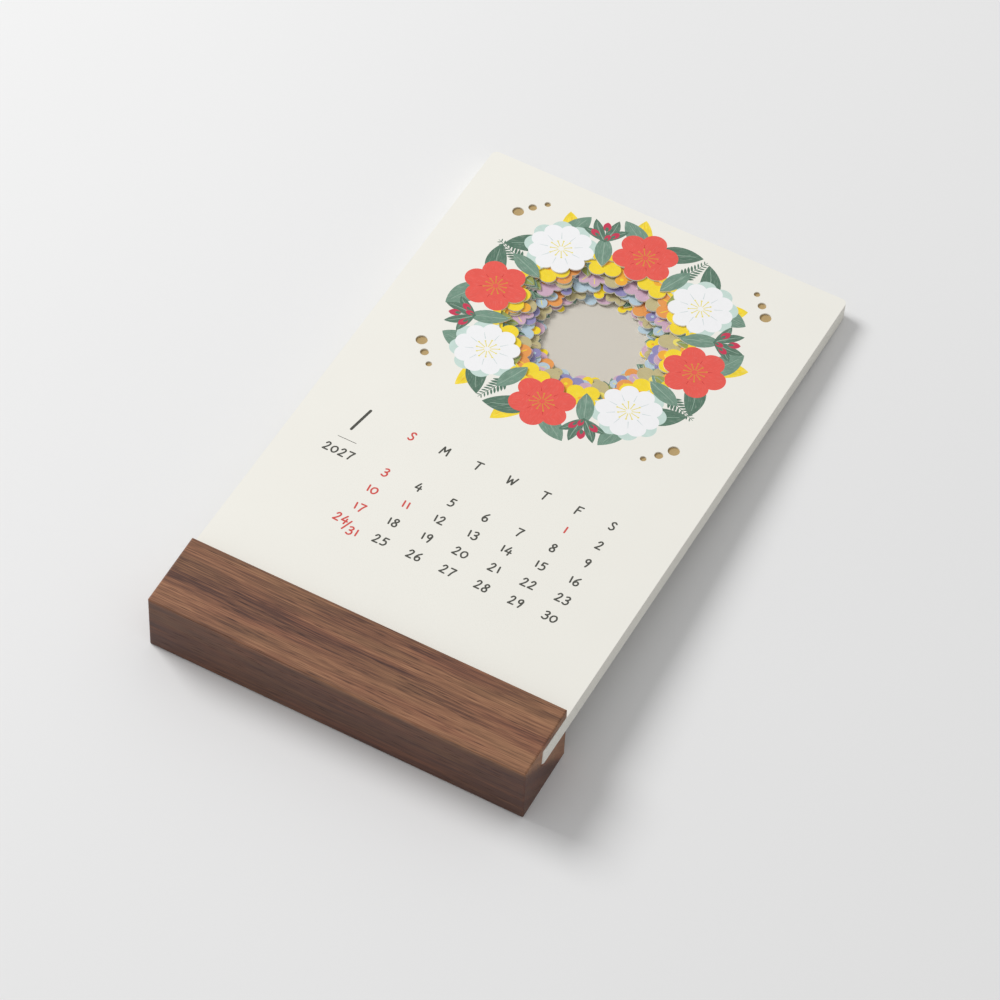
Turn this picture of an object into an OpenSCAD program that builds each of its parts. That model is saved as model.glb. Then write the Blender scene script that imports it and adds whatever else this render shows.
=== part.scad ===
// Desk calendar: a walnut stand with a leaning slot, and a stack of die-cut month cards.
// It lies on its back. +X runs along the stand, +Y from the stand to the cards' top edges,
// and +Z out of the cards' printed faces. The origin is the bottom centre of the whole.

/* [Stand] */
// Height of the stand when it is upright
base_h = 20.7; // [18:0.1:30]
// Depth of the stand, from its face to its back
base_d = 18; // [16:0.1:26]
// Radius of the sanded edges
base_ease = 0.5; // [0.2:0.1:1.2]
// Wood left in front of the slot, at its mouth
lip_t = 2.6; // [2:0.1:4]
// Depth of the slot, along its front wall
slot_depth = 12; // [8:0.5:14]
// Room between the stack and the slot's front wall
slot_clear = 0.4; // [0.2:0.05:0.8]
// Bevel along the slot's mouth
mouth_bevel = 0.35; // [0.1:0.05:0.6]

/* [Cards] */
// Width of a card, which is also the length of the stand
card_w = 100; // [80:1:140]
// Height of a card, with the part in the slot
card_h = 163; // [150:1:200]
// Thickness of one card
card_t = 0.4; // [0.3:0.05:0.5]
// Air between one card and the next, and between the stack and its seat
card_air = 0.05; // [0.02:0.01:0.1]
// Radius of a card's corners
corner_r = 1.5; // [0.5:0.25:4]

/* [Ring] */
// Distance from the cards' top edge down to the ring's centre
ring_down = 41; // [38:1:60]
// Radius of the January card's hole, between its blossoms
hole_r = 23.5; // [20:0.5:26]
// How much smaller each card's hole is than the one in front
hole_step = 0.85; // [0.4:0.05:0.9]
// How far the leaf tips stand into the hole
leaf_bite = 2.2; // [1:0.1:3]
// Length of a leaf
leaf_l = 10; // [8:0.5:14]
// Width of a leaf
leaf_w = 4.2; // [3:0.2:6]
// How far neighbouring petals run into each other, where 1 is only touching
petal_merge = 1.18; // [1.1:0.01:1.3]
// Width of a bead sprig's stem
stem_w = 0.8; // [0.6:0.1:1.5]

/* [Punched dots] */
// Distance of the dot trails from the ring's centre
dots_out = 43; // [40:0.5:45]
// Angle of the dot trails above and below the ring's middle
dots_angle = 36; // [28:1:42]
// Radius of the largest dot in a trail
dot_r = 1.5; // [1:0.1:1.8]
// Size of each dot as a share of the one before it
dot_shrink = 0.74; // [0.6:0.02:0.85]
// Distance between the dots of a trail
dot_pitch = 4; // [3.6:0.1:5]

/* [Hidden] */
$fn = 48;

// Each month's ring, from the front card to the back one: name, the two motifs that take turns
// round it with their petals or beads, how many motifs there are, the radius of one, how far it
// stands into the hole, and the turn of the ring. The last card isn't pierced.
MONTHS = [
    ["january", ["round", 6], ["round", 9], 8, 8.2, 4, 0],
    ["february", ["round", 5], ["round", 5], 10, 5.4, 4.6, 20],
    ["march", ["beads", 2], ["pointed", 6], 8, 5.8, 4.8, 6],
    ["april", ["round", 4], ["round", 4], 9, 4.8, 5, 12],
    ["may", ["pointed", 8], ["round", 5], 10, 5.2, 4.4, 27],
    ["june", ["round", 7], ["beads", 2], 8, 5.2, 4.8, 8],
    ["july", ["round", 5], ["pointed", 5], 9, 4.6, 4.2, 33],
    ["august", ["beads", 2], ["round", 6], 8, 4.8, 4.4, 22],
    ["september", ["pointed", 7], ["pointed", 7], 9, 4.4, 3.8, 5],
    ["october", ["round", 4], ["round", 5], 8, 4.8, 3.6, 16],
    ["november", ["round", 6], ["beads", 2], 10, 4.2, 3, 30],
    ["december"],
];
card_count = len(MONTHS);
function card_name(k) = str(MONTHS[k][0], "_card");
function pierced(k) = len(MONTHS[k]) > 1;
function motif_shape(k, i) = MONTHS[k][1 + i % 2];
function motifs(k) = MONTHS[k][3];
function motif_r(k) = MONTHS[k][4];
function bite(k) = MONTHS[k][5];
function turn(k) = MONTHS[k][6];

// The stack, and the slot that holds it with its clearance in front
card_pitch = card_t + card_air;
stack_t = card_count * card_pitch - card_air;
slot_t = stack_t + slot_clear;

// The slot leans back so far that the stack's far edge and the stand's back lie on one plane:
// free * sin(lean) + slot_t * cos(lean) is the height of the slot's front wall at its mouth.
free_h = card_h - slot_depth;
mouth_z = base_d - lip_t;
lean = asin(mouth_z / sqrt(free_h * free_h + slot_t * slot_t)) - atan2(slot_t, free_h);

// The corner where the stack's back meets its bottom edge
seat_y = base_h - slot_depth * cos(lean) - slot_t * sin(lean);
seat_z = card_h * sin(lean);
total_l = seat_y + card_h * cos(lean) + stack_t * sin(lean);

// Where a line at the height n over the stack's back comes out of the stand
function mouth(n) = slot_depth + (slot_t - n) * tan(lean);

base_w = card_w;
ring_s = card_h - ring_down;
function hole(k) = hole_r - k * hole_step;
dots_in_trail = 3;
cut_past = 5;

// Puts its children into the cards' frame: X along the card, Y up the card, Z out of its face
module leaned() {
    translate([0, seat_y - total_l / 2, seat_z]) rotate([-lean, 0, 0]) children();
}

// Carries a profile drawn in Y and Z along X, centred
module along_x(length) {
    translate([-length / 2, 0, 0]) rotate([90, 0, 90]) linear_extrude(length) children();
}

module round_rect(w, h, r) {
    translate([r, 0]) square([w - 2 * r, h]);
    translate([0, r]) square([w, h - 2 * r]);
    for (x = [r, w - r], y = [r, h - r]) translate([x, y]) circle(r);
}

// A block whose twelve edges are sanded round
module eased_block(w, h, d, r) {
    intersection() {
        translate([w / 2, 0, 0]) along_x(w) round_rect(h, d, r);
        linear_extrude(d) round_rect(w, h, r);
        translate([0, h, 0]) rotate([90, 0, 0]) linear_extrude(h) round_rect(w, d, r);
    }
}

// The slot, drawn up the card and out of its face, with a bevel on both edges of its mouth
module slot_profile() {
    back = -card_air;
    foot = -card_air;
    polygon([
        [foot, back],
        [mouth(back) - mouth_bevel, back],
        [mouth(back), back - mouth_bevel],
        [mouth(back) + cut_past, back - mouth_bevel],
        [mouth(slot_t) + cut_past, slot_t + mouth_bevel],
        [mouth(slot_t), slot_t + mouth_bevel],
        [mouth(slot_t) - mouth_bevel, slot_t],
        [foot, slot_t],
    ]);
}

module walnut_base() {
    color("saddlebrown") difference() {
        translate([-base_w / 2, -total_l / 2, 0]) eased_block(base_w, base_h, base_d, base_ease);
        leaned() along_x(base_w + 2 * cut_past) slot_profile();
    }
}

// A blossom of round petals about a disc: each petal's circle runs a little into the next
module round_blossom(r, count) {
    spread = petal_merge * sin(180 / count);
    petal_r = r * spread / (1 + spread);
    circle(r - petal_r);
    for (i = [0:count - 1]) rotate(i * 360 / count) translate([0, r - petal_r]) circle(petal_r);
}

// A blossom of pointed petals, whose inner ends lie under a disc
module pointed_blossom(r, count) {
    eye_r = 0.45 * r;
    petal_l = 0.75 * r;
    circle(eye_r);
    for (i = [0:count - 1])
        rotate(i * 360 / count) translate([0, r - petal_l]) leaf(petal_l, 1.5 * r * sin(180 / count));
}

// A sprig that points down Y: a bead at its tip, then pairs of beads up a thin stem
module bead_sprig(r, pairs) {
    bead_r = 0.27 * r;
    translate([0, bead_r - r]) {
        circle(bead_r);
        for (i = [1:pairs], side = [-1, 1])
            translate([side * 0.9 * bead_r, i * 1.5 * bead_r]) circle(bead_r);
        translate([-stem_w / 2, 0]) square([stem_w, 2 * r - bead_r]);
    }
}

module motif(shape, r) {
    if (shape[0] == "round") round_blossom(r, shape[1]);
    if (shape[0] == "pointed") pointed_blossom(r, shape[1]);
    if (shape[0] == "beads") bead_sprig(r, shape[1]);
}

// A pointed leaf along Y from the origin: the overlap of two equal circles
module leaf(length, width) {
    bend_r = (length * length + width * width) / (4 * width);
    translate([0, length / 2])
        intersection_for(side = [-1, 1]) translate([side * (bend_r - width / 2), 0]) circle(bend_r);
}

// The hole of one card: a circle, less the motifs and leaf tips that stand into it
module aperture(k) {
    step = 360 / motifs(k);
    difference() {
        circle(hole(k));
        for (i = [0:motifs(k) - 1]) rotate(turn(k) + i * step) {
            translate([0, hole(k) + motif_r(k) - bite(k)]) motif(motif_shape(k, i), motif_r(k));
            rotate(step / 2) translate([0, hole(k) - leaf_bite]) leaf(leaf_l, leaf_w);
        }
    }
}

// Three dots that grow smaller as they curve round the ring
module dot_trail() {
    for (i = [0:dots_in_trail - 1])
        rotate(i * 2 * asin(dot_pitch / (2 * dots_out)))
            translate([dots_out, 0]) circle(dot_r * pow(dot_shrink, i));
}

module punched_dots() {
    for (x = [0, 1], y = [0, 1]) mirror([x, 0]) mirror([0, y]) rotate(dots_angle) dot_trail();
}

module month_card(k) {
    color("ivory") leaned() translate([0, 0, (card_count - 1 - k) * card_pitch])
        linear_extrude(card_t) difference() {
            translate([-card_w / 2, 0]) round_rect(card_w, card_h, corner_r);
            if (pierced(k)) translate([0, ring_s]) aperture(k);
            if (k == 0) translate([0, ring_s]) punched_dots();
        }
}

walnut_base();
for (k = [0:card_count - 1]) month_card(k);
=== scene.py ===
"""A desk calendar: the walnut of its stand, and the print on its twelve die-cut month cards.

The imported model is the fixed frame. The stand keeps its own mesh and gets its wood. Each card is made
again on the outline of its node, and its face is a mosaic of bare and inked faces.

Points on a card are complex numbers, x + 1j * y, in millimetres: adding one moves a shape, and
multiplying by one of length 1 turns it. x runs along the card from its middle and y up the card.
"""

import math
from calendar import SUNDAY, Calendar
from collections import namedtuple

import bpy
import numpy as np
from bpy.props import FloatProperty, FloatVectorProperty, PointerProperty
from mathutils import Matrix, Vector
from mathutils.geometry import delaunay_2d_cdt


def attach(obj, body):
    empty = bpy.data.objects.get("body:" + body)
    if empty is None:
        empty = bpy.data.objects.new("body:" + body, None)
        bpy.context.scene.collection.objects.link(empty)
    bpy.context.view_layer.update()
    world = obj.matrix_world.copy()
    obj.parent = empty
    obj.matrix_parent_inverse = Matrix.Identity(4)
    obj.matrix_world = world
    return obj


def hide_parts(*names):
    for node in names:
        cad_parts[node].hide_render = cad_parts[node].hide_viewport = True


bl_info = {
    "name": "Die-cut desk calendar",
    "version": (1, 0, 0),
    "blender": (4, 5, 0),
    "location": "3D View > Sidebar > Calendar",
    "description": "Finishes a walnut stand and prints the twelve month cards that lean in it",
    "category": "Object",
}

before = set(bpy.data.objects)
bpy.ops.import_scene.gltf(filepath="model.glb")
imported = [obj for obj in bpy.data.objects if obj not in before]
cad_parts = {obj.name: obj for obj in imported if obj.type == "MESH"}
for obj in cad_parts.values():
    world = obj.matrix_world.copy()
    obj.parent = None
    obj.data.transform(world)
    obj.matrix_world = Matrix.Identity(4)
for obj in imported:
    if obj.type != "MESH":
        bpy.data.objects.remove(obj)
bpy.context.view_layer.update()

MM = 0.001
FULL_TURN = 2 * math.pi

# A motif that stands round a ring: its kind, its number of petals or of pairs of beads, its ink and
# the ink of its middle
Motif = namedtuple("Motif", "kind parts ink accent")

# A month's ring: the two motifs that take turns, how many there are, the radius of one and how far
# it stands into the hole in millimetres, the turn of the ring in degrees, and the inks of its leaves
# and of the ground behind them, which the front card doesn't have
Ring = namedtuple("Ring", "month first second count radius bite turn leaf ground")

RINGS = [
    Ring("january", Motif("round", 6, "coral", "ochre"), Motif("round", 9, "chalk", "straw"),
         8, 8.2, 4, 0, "sage", None),
    Ring("february", Motif("round", 5, "sun", "amber"), Motif("round", 5, "sun", "amber"),
         10, 5.4, 4.6, 20, "moss", "sun"),
    Ring("march", Motif("beads", 2, "amber", "sun"), Motif("pointed", 6, "apricot", "sun"),
         8, 5.8, 4.8, 6, "sage", "amber"),
    Ring("april", Motif("round", 4, "khaki", "straw"), Motif("round", 4, "khaki", "straw"),
         9, 4.8, 5, 12, "moss", "taupe"),
    Ring("may", Motif("pointed", 8, "mauve", "straw"), Motif("round", 5, "mauve", "amber"),
         10, 5.2, 4.4, 27, "sage", "mauve"),
    Ring("june", Motif("round", 7, "lilac", "straw"), Motif("beads", 2, "lilac", "sky"),
         8, 5.2, 4.8, 8, "pine", "lilac"),
    Ring("july", Motif("round", 5, "sky", "chalk"), Motif("pointed", 5, "sky", "straw"),
         9, 4.6, 4.2, 33, "sage", "sky"),
    Ring("august", Motif("beads", 2, "sun", "amber"), Motif("round", 6, "apricot", "coral"),
         8, 4.8, 4.4, 22, "moss", "amber"),
    Ring("september", Motif("pointed", 7, "khaki", "taupe"), Motif("pointed", 7, "khaki", "taupe"),
         9, 4.4, 3.8, 5, "moss", "taupe"),
    Ring("october", Motif("round", 4, "mauve", "crimson"), Motif("round", 5, "mauve", "straw"),
         8, 4.8, 3.6, 16, "pine", "taupe"),
    Ring("november", Motif("round", 6, "sky", "chalk"), Motif("beads", 2, "sun", "amber"),
         10, 4.2, 3, 30, "sage", "khaki"),
]
LAST_MONTH = "december"

# The leaf at each half step of a ring: its length, its width and how far it stands into the hole
LEAF_L = 10
LEAF_W = 4.2
LEAF_BITE = 2.2
# How far neighbouring petals run into each other, where 1 is only touching
PETAL_MERGE = 1.18
# Shares of a pointed blossom's radius: the length of a petal, the width of one where the blossom has
# few, and the disc over their inner ends
POINTED_L = 0.75
POINTED_W = 1.5
POINTED_EYE = 0.45
# The radius of a bead as a share of its sprig's, and as shares of a bead's: how far each of a pair
# stands from the stem, how far one pair stands over the last, and its spot of light and how high
# that is
BEAD_R = 0.27
BEAD_SIDE = 0.9
BEAD_RISE = 1.5
BEAD_SPOT = 0.3
BEAD_SPOT_UP = 0.25
# Width of a bead sprig's stem
STEM_W = 0.8
# The plain middle of a blossom behind the front card, as a share of its radius
PLAIN_EYE = 0.24
# How far ink runs past a cut edge, so that no bare sliver shows there
BLEED = 0.12
# How far a card's ground colour reaches past its hole
GROUND_PAST = 8
# The patch of ink under a punched dot, as a share of the dot
DOT_PATCH = 1.7
# Widths of the printed lines: inside petals and in stamens, between petals and up a fern, and along
# leaves and up to buds
PETAL_LINE = 0.22
FINE_LINE = 0.24
RIB_LINE = 0.26
# The share of its width that a leaf's middle line loses, and the shares of the length between which
# such a line runs in a leaf and in a petal
RIB_TAPER = 0.5
RIB_SHARES = (0.08, 0.86)
PETAL_SHARES = (0.3, 0.75)
# How dry the brush was, from 0 to 1, for white round petals, other round ones, ferns, leaves, and the
# grounds and other shapes that aren't quite even
DRY_WHITE = 0.08
DRY_PETAL = 0.35
DRY_FERN = 0.5
DRY_LEAF = 1.0
DRY_OTHER = 0.3
# Height of the band along a cut edge that the die has pressed, and how much darker it is: partly the
# pressed card's own darkening, partly painted shade of the grooves between the stacked cards
PRESSED = 0.1
PRESSED_SHADE_COVER = 0.3
# How far apart the brush patterns of two shapes lie
SHAPE_STEP = 37.0

# How far apart the points of a circle, of a leaf's side and of its midrib stand, and the fewest
# points that they have
CIRCLE_STEP, CIRCLE_POINTS = 0.4, 12
LEAF_STEP, LEAF_POINTS = 0.7, 8
RIB_STEP, RIB_POINTS = 1.5, 4
# The points on the half circle at each end of a stroke, between its corners
CAP_POINTS = 3
# The triangulation keeps what lies inside a shape, and makes one of corners that are this near
KEEP_INSIDE = 1
SAME_CORNER = 1e-5
# The area in square millimetres that rounding may add to a shape
SLIVER = 0.01

# Strokes of the hand lettering, each a list of points on a grid 6 units high. Lists of two points
# are straight strokes, and longer ones are smooth.
GLYPHS = {
    "0": [[2.1 + 5.1j, 0.8 + 4.4j, 0.3 + 2.5j, 1.4 + 0.6j,
           3 + 0.8j, 3.9 + 2.9j, 3.2 + 4.7j, 2.1 + 5.1j]],
    "1": [[1 + 5.3j, 1.5 + 0.9j]],
    "I": [[1.7 + 6j, 0.9 + 0j]],
    "2": [[0.6 + 4.7j, 1.6 + 5.9j, 2.9 + 5.3j, 2.7 + 3.6j, 1.5 + 1.7j, 0.3 + 0.3j],
          [0.3 + 0.3j, 3.4 + 0.2j]],
    "3": [[0.8 + 5.5j, 2.3 + 6j, 3.2 + 4.9j, 2.4 + 3.6j, 1.4 + 3.2j],
          [1.4 + 3.2j, 3.1 + 2.8j, 3.3 + 1.1j, 2 + 0j, 0.4 + 0.6j]],
    "4": [[2.2 + 6j, 0.3 + 2.1j], [0.3 + 2.1j, 3.9 + 2.2j], [3 + 4j, 2.7 + 0j]],
    "5": [[3.5 + 5.9j, 1.3 + 5.8j], [1.3 + 5.8j, 1 + 3.5j],
          [1 + 3.5j, 2.6 + 3.7j, 3.4 + 2.1j, 2.5 + 0.4j, 0.6 + 0.3j]],
    "6": [[2.8 + 6j, 1.1 + 4j, 0.5 + 1.8j, 1.5 + 0.1j, 3.1 + 0.7j, 3.2 + 2.4j, 2 + 3.1j, 0.8 + 2.1j]],
    "7": [[0.5 + 5.7j, 3.7 + 5.8j], [3.7 + 5.8j, 2.4 + 2.9j, 1.8 + 0j]],
    "8": [[2 + 3.2j, 0.8 + 4.5j, 1.7 + 5.9j, 3.1 + 5.2j, 2.7 + 3.9j, 2 + 3.2j],
          [2 + 3.2j, 0.6 + 1.9j, 1.1 + 0.3j, 2.8 + 0.3j, 3.2 + 1.9j, 2 + 3.2j]],
    "9": [[3.2 + 4.9j, 2.2 + 6j, 0.8 + 5.1j, 0.9 + 3.6j, 2.2 + 3.1j, 3.2 + 4.9j],
          [3.2 + 4.9j, 2.9 + 2.2j, 2.3 + 0j]],
    "/": [[2.8 + 6.5j, 0.6 - 0.9j]],
    "S": [[3.3 + 5.2j, 2.2 + 6j, 0.9 + 5.1j, 1.4 + 3.6j, 2.8 + 2.6j, 3 + 1j, 1.7 + 0j, 0.4 + 0.7j]],
    "M": [[0.2 + 0j, 0.9 + 5.6j], [0.9 + 5.6j, 2.4 + 2.2j], [2.4 + 2.2j, 4.2 + 5.8j],
          [4.2 + 5.8j, 4.7 + 0.1j]],
    "T": [[0.3 + 5.6j, 4.3 + 5.9j], [2.4 + 5.7j, 2 + 0j]],
    "W": [[0.2 + 5.8j, 1.1 + 0.2j], [1.1 + 0.2j, 2.6 + 4.2j], [2.6 + 4.2j, 3.7 + 0.2j],
          [3.7 + 0.2j, 5.2 + 5.9j]],
    "F": [[0.9 + 5.9j, 0.7 + 0j], [0.9 + 5.8j, 3.7 + 6j], [0.8 + 3.1j, 3 + 3.3j]],
}
GLYPH_H = 6
LETTER_GAP = 1.45
# How far a letter turns in radians, and how far it drops on the grid, each as a standard deviation
HAND_TILT = 0.03
HAND_DROP = 0.12

# The year that the cards are for, and its dates printed as holidays, as month and date
YEAR = 2027
HOLIDAYS = ((1, 1), (1, 11))
WEEKDAYS = "SMTWTFS"
# Rows of dates on a card. Dates of a sixth week share the places of the fifth.
ROWS = 5


# Settings


def linear(*rgb):
    """The scene-linear values of a colour given as 0 to 255 on a screen."""
    shares = np.array(rgb) / 255
    return tuple(np.where(shares > 0.04045, ((shares + 0.055) / 1.055) ** 2.4, shares / 12.92))


def colour(name, description, *rgb):
    """A colour that the user can change, with its default as 0 to 255 on a screen."""
    return FloatVectorProperty(
        name=name, description=description, default=linear(*rgb), subtype="COLOR", min=0, max=1
    )


def length(name, description, millimetres):
    """A length that the user can change, with its default in millimetres."""
    return FloatProperty(name=name, description=description, default=millimetres * MM, unit="LENGTH")


def share(name, description, default):
    """A share from 0 to 1 that the user can change."""
    return FloatProperty(
        name=name, description=description, default=default, min=0, max=1, subtype="FACTOR"
    )


class WalnutFinish(bpy.types.PropertyGroup):
    """The look of the stand's oiled walnut."""

    heart: colour("Heartwood", "The main colour between the streaks", 129, 91, 65)
    warm: colour("Warm heartwood", "The redder patches of the heartwood", 135, 88, 65)
    streak: colour("Streaks", "The dark streaks along the grain", 78, 50, 42)
    light: colour("Light grain", "The palest fibres", 166, 120, 88)
    pore: colour("Pores", "The fine dark dashes of open pores", 56, 36, 29)
    ring_width: length("Ring width", "Distance from one growth ring to the next", 3.0)
    grain_slope: share("Grain slope", "How far the grain turns from the stand's length", 0.014)
    wander: length("Wander", "How far the grain sways from a straight line", 0.9)
    pore_width: length("Pore width", "Width of a pore", 0.2)
    pore_length: length("Pore length", "Length of a pore along the grain", 3.2)
    pore_depth: length("Pore depth", "Depth of a pore that the oil has half filled", 0.02)
    roughness: share("Roughness", "Roughness of the oiled surface", 0.5)


class CardFinish(bpy.types.PropertyGroup):
    """The look of the bare card and of ink on it."""

    paper: colour("Paper", "The uncoated card itself", 240, 238, 230)
    fibre: length("Fibre size", "Size of the card's fibres", 0.12)
    fibre_depth: length("Fibre depth", "Height of the card's fibres", 0.002)
    streaks: share("Brush streaks", "How much the ink's brush streaks lighten and darken it", 0.16)
    dry_brush: share("Dry brush", "How much card shows through the driest streaks", 0.3)
    roughness: share("Roughness", "Roughness of card and ink", 0.82)


class Inks(bpy.types.PropertyGroup):
    """The inks that the cards are printed in, with a grey of painted shade for the last card's middle,
    and a cut-edge ink that is partly painted shade.
    """

    coral: colour("Coral", "Red blossoms", 233, 92, 82)
    brick: colour("Brick", "Lines between the red petals", 206, 66, 62)
    chalk: colour("Chalk", "White blossoms", 243, 243, 244)
    mist: colour("Mist", "Lines between the white petals", 208, 219, 219)
    aqua: colour("Aqua", "The pale petals behind white blossoms", 200, 221, 213)
    sage: colour("Sage", "Most leaves", 116, 148, 130)
    pine: colour("Pine", "Dark leaves and ferns", 88, 120, 102)
    moss: colour("Moss", "Yellow-green leaves", 150, 160, 84)
    dew: colour("Dew", "Midribs of the leaves", 150, 176, 158)
    sun: colour("Sun", "Bright yellow", 244, 216, 52)
    straw: colour("Straw", "Pale yellow stamens", 236, 221, 112)
    amber: colour("Amber", "Orange-yellow", 240, 176, 62)
    apricot: colour("Apricot", "Pale orange", 232, 156, 84)
    ochre: colour("Ochre", "Stamens of the red blossoms", 214, 150, 60)
    crimson: colour("Crimson", "Buds", 202, 60, 88)
    khaki: colour("Khaki", "Grey-yellow", 194, 182, 136)
    bronze: colour("Bronze", "Shows through the punched dots", 184, 158, 110)
    taupe: colour("Taupe", "Grey-brown", 160, 142, 124)
    mauve: colour("Mauve", "Pale pink-purple", 206, 172, 192)
    lilac: colour("Lilac", "Blue-purple", 146, 140, 186)
    sky: colour("Sky", "Pale blue", 182, 202, 214)
    # Painted shade: a grey printed on the last card's middle for the shade at the floor of the ring's
    # hole
    stone: colour("Stone", "The tint of the last card", 209, 203, 192)
    # Partly the pressed card's own darker edge, partly painted shade of the grooves between stacked
    # cards
    cut: colour("Cut edge", "The pressed band along a cut edge", 150, 142, 130)
    writing: colour("Writing", "Dates", 82, 82, 76)
    sunday: colour("Sundays", "Sundays and holidays", 212, 84, 78)


class DateSizes(bpy.types.PropertyGroup):
    """Sizes of the hand lettering and of the date grid."""

    slant: share("Slant", "How far the dates lean, as a share of their height", 0.04)
    digit: length("Digit height", "Height of a date", 2.5)
    digit_line: length("Digit stroke", "Width of the pen in the dates", 0.46)
    letter: length("Letter height", "Height of a weekday's letter", 2.55)
    month: length("Month height", "Height of the month's number", 7.5)
    month_line: length("Month stroke", "Width of the pen in the month's number", 0.74)
    year: length("Year height", "Height of the year's digits", 2.5)
    column: length("Column pitch", "Distance from one weekday to the next", 9.1)
    row: length("Row pitch", "Distance from one week to the next", 6.3)
    sunday_at: length("Sunday's place", "Place of the Sundays from the card's middle", -21.7)
    letters_down: length("Weekdays below", "Distance from the ring's centre to the weekdays", 53.8)
    dates_down: length("Dates below", "Distance from the ring's centre to the first week", 60.8)
    month_at: length("Month's place", "Place of the month's number from the card's middle", -34.85)
    month_down: length("Month below", "Distance from the ring's centre to the month's number", 55.5)
    rule_down: length("Rule below", "Distance from the ring's centre to the short rule", 62.8)
    year_down: length("Year below", "Distance from the ring's centre to the year", 66.9)
    year_at: length("Year's place", "Place of the rule and the year from the card's middle", -34.7)
    rule: length("Rule length", "Length of the short rule under the month's number", 5.0)
    rule_line: length("Rule stroke", "Width of the short rule", 0.17)
    pair_across: length("Pair apart", "Distance across between two dates that share a place", 4.2)
    pair_down: length("Pair drop", "How much lower the later of them stands", 2.3)


class StageSettings(bpy.types.PropertyGroup):
    """The floor, the light and the camera."""

    floor: colour("Floor", "The pale floor", 234, 234, 234)
    sky_strength: FloatProperty(
        name="Sky", description="Strength of the even light from all round", default=0.53, min=0
    )
    key_power: FloatProperty(
        name="Key lamp", description="Power of the soft lamp", default=17.2, min=0, unit="POWER"
    )
    key_size: length("Lamp size", "Width of the soft lamp", 760)
    key_at: FloatVectorProperty(
        name="Lamp place",
        description="Place of the soft lamp",
        default=(-1.15, 0.16, 1.12),
        subtype="TRANSLATION",
        unit="LENGTH",
    )
    camera_at: FloatVectorProperty(
        name="Camera place",
        description="Place of the camera",
        default=(0.30566, -0.62747, 0.92694),
        subtype="TRANSLATION",
        unit="LENGTH",
    )
    camera_right: FloatVectorProperty(
        name="Camera right",
        description="Direction that runs to the right across the picture",
        default=(0.8802, 0.4738, 0.0285),
        subtype="DIRECTION",
    )
    camera_up: FloatVectorProperty(
        name="Camera up",
        description="Direction that runs up the picture",
        default=(-0.3954, 0.6985, 0.5965),
        subtype="DIRECTION",
    )
    lens: FloatProperty(
        name="Lens", description="Focal length on a 36 mm sensor", default=171.9, unit="CAMERA"
    )


class CalendarSettings(bpy.types.PropertyGroup):
    """All settings of the desk calendar."""

    walnut: PointerProperty(name="Walnut", description="The stand's wood", type=WalnutFinish)
    card: PointerProperty(name="Card", description="The cards' surface", type=CardFinish)
    inks: PointerProperty(name="Inks", description="The printed colours", type=Inks)
    dates: PointerProperty(name="Dates", description="The date grid", type=DateSizes)
    stage: PointerProperty(name="Stage", description="Floor, light and camera", type=StageSettings)


# Reading the cards' outlines from the frame


def welded(mesh):
    """A mesh's places with equal ones made one, and its triangles."""
    places = np.empty(len(mesh.vertices) * 3, np.float32)
    mesh.vertices.foreach_get("co", places)
    corners = np.empty(len(mesh.loops), np.int32)
    mesh.loops.foreach_get("vertex_index", corners)
    places, index = np.unique(places.reshape(-1, 3), axis=0, return_inverse=True)
    return places.astype(float), index.ravel()[corners].reshape(-1, 3)


def outlines(triangles):
    """The closed loops of corners round a set of triangles: each edge that only one of them has."""
    edges = np.concatenate([triangles[:, pair] for pair in ([0, 1], [1, 2], [2, 0])])
    known = set(map(tuple, edges.tolist()))
    after = {a: b for a, b in known if (b, a) not in known}
    loops = []
    while after:
        start = min(after)
        loop = [start]
        corner = after.pop(start)
        while corner != start:
            loop.append(corner)
            corner = after.pop(corner)
        loops.append(loop)
    return loops


def area(outline):
    """The area inside an outline, which is negative if it runs clockwise."""
    return 0.5 * np.sum(np.conj(outline) * np.roll(outline, -1)).imag


def triangle_areas(corners):
    """The area of each triangle in an array of them."""
    first, second, third = corners.T
    return 0.5 * (np.conj(second - first) * (third - first)).imag


def middle(outline):
    """The middle of an outline's box."""
    return complex(*((part.min() + part.max()) / 2 for part in (outline.real, outline.imag)))


class CardSpace:
    """The frame that the cards share: along them, up them and out of their faces."""

    def __init__(self, mesh):
        places, triangles = welded(mesh)
        first, second, third = (places[triangles[:, k]] for k in range(3))
        facing = np.cross(second - first, third - first)
        # The largest triangle that faces up lies on the printed face
        facing = facing[np.argmax(np.abs(facing).sum(1) * (facing[:, 2] > 0))]
        self.out = facing / np.linalg.norm(facing)
        self.along = np.array([1.0, 0.0, 0.0])
        self.up = np.cross(self.out, self.along)

    def blank(self, mesh):
        """A card as it is cut: its outlines, the largest first, and where it lies."""
        places, triangles = welded(mesh)
        height = places @ self.out
        foot = (places @ self.up).min()
        flat = (places @ self.along + 1j * (places @ self.up - foot)) / MM
        top = height > (height.min() + height.max()) / 2
        loops = [flat[loop] for loop in outlines(triangles[top[triangles].all(1)])]
        loops.sort(key=lambda loop: -abs(area(loop)))
        return Blank(self, loops, foot, height.min(), height.max())


class Blank:
    """One card's outlines in millimetres, and its place in the frame."""

    def __init__(self, space, loops, foot, low, high):
        self.space, self.loops, self.foot, self.low, self.high = space, loops, foot, low, high

    def reach(self, centre):
        """The radius of the ring's hole between its motifs."""
        return np.abs(self.loops[1] - centre.at).max()

    def places(self, flat, height):
        """Points of the card's plane as places in the frame, at a height out of it."""
        along = np.outer(flat.real * MM, self.space.along)
        up = np.outer(flat.imag * MM + self.foot, self.space.up)
        return along + up + height * self.space.out


# Shapes


def circle(radius):
    """Points radius * (cos a, sin a), with the angles a evenly round."""
    sides = max(CIRCLE_POINTS, int(FULL_TURN * radius / CIRCLE_STEP))
    return radius * np.exp(1j * np.arange(sides) * FULL_TURN / sides)


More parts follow.
